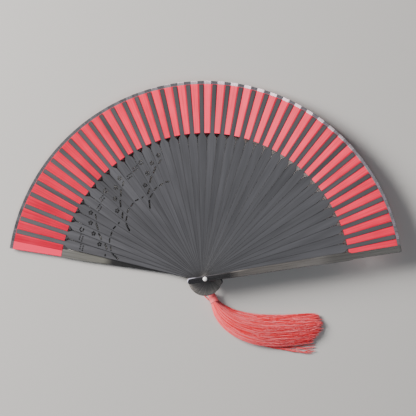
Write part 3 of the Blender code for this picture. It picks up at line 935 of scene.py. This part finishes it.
def make_guards():
    for node, stick, body, edges, along in (
        ("rear_guard", 0, "root", (REAR_LEFT_EDGE, REAR_RIGHT_EDGE), REAR_TONES),
        ("front_guard", LAST, "front_guard_body", (FRONT_LEFT_EDGE, FRONT_RIGHT_EDGE), FRONT_TONES),
    ):
        lacquer = stained_wood(f"{node}_lacquered_bamboo", along, 0.27)
        outline = [guard_outline(*edges), circle((0, 0), HOLE, 24)]
        points, faces, walls = plate(outline, GUARD_THICKNESS, GUARD_EDGE, 6, GUARD_RIM)
        there = placed(points, 0.0, stick_angle(stick), level_of(node))
        tone = np.full(len(points), 0.5)
        # The front guard's upper edge is painted pale, most of all at its tail: a painted highlight on its
        # rounded lacquer edge.
        reach = 1.2 * MM - 2.4 * MM * smoothstep((-9 * MM - points[:, 0]) / (6 * MM))
        fade = smoothstep((50 * MM - points[:, 0]) / (70 * MM)) * smoothstep((points[:, 1] - reach) / MM)
        tail_end = smoothstep((-8 * MM - points[:, 0]) / (5 * MM))
        painted_highlight = -(9.0 + 55.0 * tail_end) * walls * fade * (stick == LAST)
        piece = make_piece(f"{node}_stick", there, faces, lacquer, points[:, :2], tone, painted_highlight, sharp=60)
        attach(piece, body)
        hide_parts(node)


# --- Leaf and binding ---

LEAF_INNER, LEAF_OUTER = 142.3 * MM, 189.98 * MM
BAND_INNER, BAND_OUTER = 190.0 * MM, 193.0 * MM
LEAF_THICKNESS, BAND_THICKNESS = 0.05 * MM, 0.14 * MM
GLUE = 0.02 * MM
UNDER_RIB = RIB_THICKNESS / 2 + GLUE + LEAF_THICKNESS / 2
GUARD_SEAT = GLUE + BAND_THICKNESS / 2
LEAF_MIDDLE = 166.0 * MM

# Columns of points across a free strip and across a glued one, and how much steeper than its slope
# a free strip is shaded.
FREE, GLUED, STEEPENED = 15, 7, 3.4


def facet(stick):
    """The strip of leaf on one stick: its left and right fold as angles from the stick's middle, its
    height there, and its slope across."""
    if stick == 0:
        return math.radians(1.48), math.radians(0.863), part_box("rear_guard")[1][2] + GUARD_SEAT, 0.0
    if stick == LAST:
        return math.radians(0.88), math.radians(0.68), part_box("front_guard")[0][2] - GUARD_SEAT, 0.0
    return math.radians(1.10), math.radians(0.863), level_of(rib_name(stick)) - UNDER_RIB, TILT


def share_before(stick):
    """How far along a smooth step (3x^2 - 2x^3) its value is (stick - 1) / stick, by bisection."""
    low, high = 0.0, 1.0
    for _ in range(50):
        middle = (low + high) / 2
        low, high = (middle, high) if smoothstep(middle) < (stick - 1) / stick else (low, middle)
    return low


def fold_line(stick):
    """For the free strip before a stick: where the turn that it takes part in starts and ends. The
    strip's left fold turns as the stick before it does, and its right fold, at the inner radius and
    beyond it, as this stick does."""
    right_before, left_here = facet(stick - 1)[1], facet(stick)[0]
    width = PITCH - right_before - left_here
    begun = share_before(stick)
    reach = LEAF_INNER * math.sin(width) / (1 - begun)
    angle = stick_angle(stick - 1) - right_before
    out = np.array([math.cos(angle), math.sin(angle), 0.0])
    clockwise = np.array([out[1], -out[0], 0.0])
    start = out * LEAF_MIDDLE - clockwise * reach * begun
    return start, start + clockwise * reach, width, begun


def strip(stick, radii, lift, half_height):
    """The free strip before a stick and the strip glued to it, as rows of points along the radii.

    The free strip's point at a share s of its width turns, when the fan closes, to the angle x from
    the stick before it: minus the right fold, minus s times the width, plus one pitch times its share u
    of the turn. It lies on the plane of the stick before, raised by lift, and meets the plane of this
    stick's strip at its end, so that the closed pleats lie flat on each other."""
    right_before, base_before, slope_before = facet(stick - 1)[1:]
    left, right, base, slope = facet(stick)
    _, _, width, begun = fold_line(stick)
    radius = radii[:, None]
    share = np.concatenate([[0.0, 0.0], np.linspace(0, 1, FREE)[1:]])[None, :]
    passed = begun + (1 - begun) * radius * np.sin(width * share) / (LEAF_INNER * math.sin(width))
    turned = smoothstep(passed) * stick - (stick - 1)
    beyond = -right_before - width * share
    folded = beyond + PITCH * turned
    lifted = np.broadcast_to(lift[:, None], (len(radii), share.shape[1])).copy()
    lifted[:, 0] = 0.0
    joining = smoothstep((share - 0.45) / 0.55)
    under = base_before + slope_before * radius * np.sin(folded) + lifted
    over = base + slope * radius * np.sin(folded)
    free_height = (1 - joining) * under + joining * over
    free_angle = stick_angle(stick - 1) + beyond + 0 * radius
    glued = np.linspace(left, -right, GLUED)[None, 1:]
    glued_height = base + slope * radius * np.sin(glued)
    glued_angle = stick_angle(stick) + glued + 0 * radius
    angle = np.hstack([free_angle, glued_angle])
    height = np.hstack([free_height, glued_height])
    return shell(radii, angle, height, half_height)


def shell(radii, angle, height, half_height):
    """A thin closed shell round a sheet of points given by radius, angle and height: the sheet raised
    and lowered by half its thickness, and a rim between the two."""
    radius = radii[:, None]
    flat = np.stack([radius * np.cos(angle), radius * np.sin(angle), height], -1)
    rise = np.zeros_like(flat)
    rise[..., 2] = np.broadcast_to(half_height[:, None], angle.shape)
    rows, columns = angle.shape
    points = np.vstack([(flat + rise).reshape(-1, 3), (flat - rise).reshape(-1, 3)])
    faces, _ = grid_faces(rows, columns)
    below = faces[:, ::-1] + rows * columns
    index = np.arange(rows * columns).reshape(rows, columns)
    rim = np.concatenate([index[0, :], index[1:, -1], index[-1, ::-1][1:], index[::-1, 0][1:]])
    walls = np.column_stack([rim[:-1], rim[:-1] + rows * columns, rim[1:] + rows * columns, rim[1:]])
    return points, np.vstack([faces, below, walls]), (rows, columns)


def make_strip(name, stick, radii, lift, half_height, finish, tone):
    if stick == 0:
        left, right, base, _ = facet(0)
        angle = stick_angle(0) + np.linspace(left, -right, GLUED)[None, :] + 0 * radii[:, None]
        points, faces, (rows, columns) = shell(radii, angle, np.full_like(angle, base), half_height)
    else:
        points, faces, (rows, columns) = strip(stick, radii, lift, half_height)
    turn = np.arctan2(points[:, 1], points[:, 0])
    uv = np.column_stack([(FIRST_ANGLE - turn) * LEAF_MIDDLE, np.hypot(points[:, 0], points[:, 1])])
    piece = make_piece(name, points, faces, finish, uv, np.full(len(points), tone))
    mesh = piece.data
    mesh.calc_loop_triangles()
    normals = even_normals(mesh, rows, columns, stick)
    mesh.normals_split_custom_set(normals)
    return piece


def even_normals(mesh, rows, columns, stick):
    """One even normal across each strip, so that a pleat is shaded as the flat band between its two
    folds: the direction along the strip crossed with the straight line from fold to fold. The free
    strips' lines are drawn steeper than they are, since real cloth bulges between its folds."""
    points = np.array([vertex.co for vertex in mesh.vertices], float)
    sheet = points[: rows * columns].reshape(rows, columns, 3)
    along = np.gradient(sheet, axis=0)
    normals = np.array([corner.vector for corner in mesh.corner_normals], float)
    of_loop = np.array([loop.vertex_index for loop in mesh.loops])
    column_of = np.tile(np.arange(columns - 1), rows - 1)
    glued = (0 if stick == 0 else FREE, columns - 1, 1.0)
    parts = [glued] if stick == 0 else [(1, FREE, STEEPENED), glued]
    for first, last, steep in parts:
        chord = np.broadcast_to((sheet[:, last] - sheet[:, first])[:, None], along.shape) * [1, 1, steep]
        flat = unit(np.cross(chord, along))
        flat *= np.sign(flat[..., 2:])
        chosen = np.flatnonzero((column_of >= first) & (column_of < last))
        for offset, sign in ((0, 1.0), (len(column_of), -1.0)):
            loops = ((chosen + offset)[:, None] * 4 + np.arange(4)).reshape(-1)
            normals[loops] = sign * flat.reshape(-1, 3)[of_loop[loops] % (rows * columns)]
    return normals


def make_leaf():
    silk = leaf_cloth()
    satin = satin_tape()
    tones = np.random.default_rng(3).uniform(0.3, 0.7, LAST + 1)
    # Strip 0, glued on the rear guard, is painted much lighter: painted light, as if the lamp fell more
    # fully on it.
    tones[0] = 2.2
    leaf_radii = np.concatenate([np.linspace(LEAF_INNER, 189.7 * MM, 23), [LEAF_OUTER]])
    leaf_lift = np.concatenate([np.full(23, 0.34 * MM), [0.20 * MM]])
    leaf_half = np.full(24, LEAF_THICKNESS / 2)
    band_share = np.array([0.0, 0.05, 0.15, 0.4, 0.65, 0.85, 0.95, 1.0])
    band_radii = BAND_INNER + (BAND_OUTER - BAND_INNER) * band_share
    band_lift = np.full(8, 0.20 * MM)
    band_half = BAND_THICKNESS / 2 * np.array([0.45, 0.9, 1.0, 1.0, 1.0, 1.0, 0.8, 0.3])
    for stick in range(LAST + 1):
        first = 0.35 if stick == 1 else 1.0
        sheet = make_strip(
            f"leaf_strip_{stick:02d}", stick, leaf_radii, leaf_lift * first, leaf_half, silk, tones[stick]
        )
        tape = make_strip(f"edge_binding_{stick:02d}", stick, band_radii, band_lift, band_half, satin, 0.5)
        for piece, node in ((sheet, "leaf"), (tape, "edge_binding")):
            if stick == 0:
                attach(piece, "root")
            else:
                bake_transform(piece)
            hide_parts(node)


# --- Rivet ---


def turned_piece(name, profile, level, finish):
    """A profile of (radius, height) points, in millimetres, carried round the Z axis in 48 steps."""
    profile = np.array(profile, float) * MM
    turn = np.linspace(0, 2 * np.pi, 48, endpoint=False)
    radius, height = np.maximum(profile[:, :1], 0), profile[:, 1:]
    points = np.stack([radius * np.cos(turn), radius * np.sin(turn), height + level + 0 * turn], -1)
    faces, shares = grid_faces(len(profile), 48, closed=True)
    return make_piece(name, points.reshape(-1, 3), faces, finish, shares, sharp=40, weld=True)


def quarter(centre, radius, start, end, steps=6):
    """Points of a rounded corner, as angles in degrees."""
    turn = np.radians(np.linspace(start, end, steps))
    return list(zip(centre[0] + radius * np.cos(turn), centre[1] + radius * np.sin(turn)))


def make_rivet():
    steel = turned_steel()
    cap_glint_white = white_cap_glint()
    pin_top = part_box("rivet_pin")[1][2] / MM
    pin = [
        (0, 0),
        *quarter((2.05, 0.15), 0.15, -90, 0),
        *quarter((2.0, 0.3), 0.2, 0, 90),
        (1.32, 0.5),
        *quarter((1.32, 0.62), 0.12, 270, 180),
        (1.2, pin_top - 0.1),
        (1.1, pin_top),
        (0, pin_top),
    ]
    pin = turned_piece("rivet_pin_turned", pin, 0.0, steel)
    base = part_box("rivet_cap")[0][2]
    dome = [
        (2.2 * math.cos(rise), 0.2 + 1.15 * math.sin(rise)) for rise in np.linspace(0.0, math.pi / 2, 15)
    ]
    dome[-1] = (0, dome[-1][1])
    cap = [(0, 0.53), (1.25, 0.53), (1.25, 0), *quarter((2.1, 0.1), 0.1, -90, 0, 4), *dome]
    cap = turned_piece("rivet_cap_domed", cap, base, cap_glint_white)
    for piece, node, slot_name in ((pin, "rivet_pin", "rivet_metal"), (cap, "rivet_cap", "rivet_cap")):
        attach(piece, "root")
        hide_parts(node)


# --- The whole fan ---

make_camera()
make_tassel()
make_room()
make_ribs()
make_guards()
make_leaf()
make_rivet()
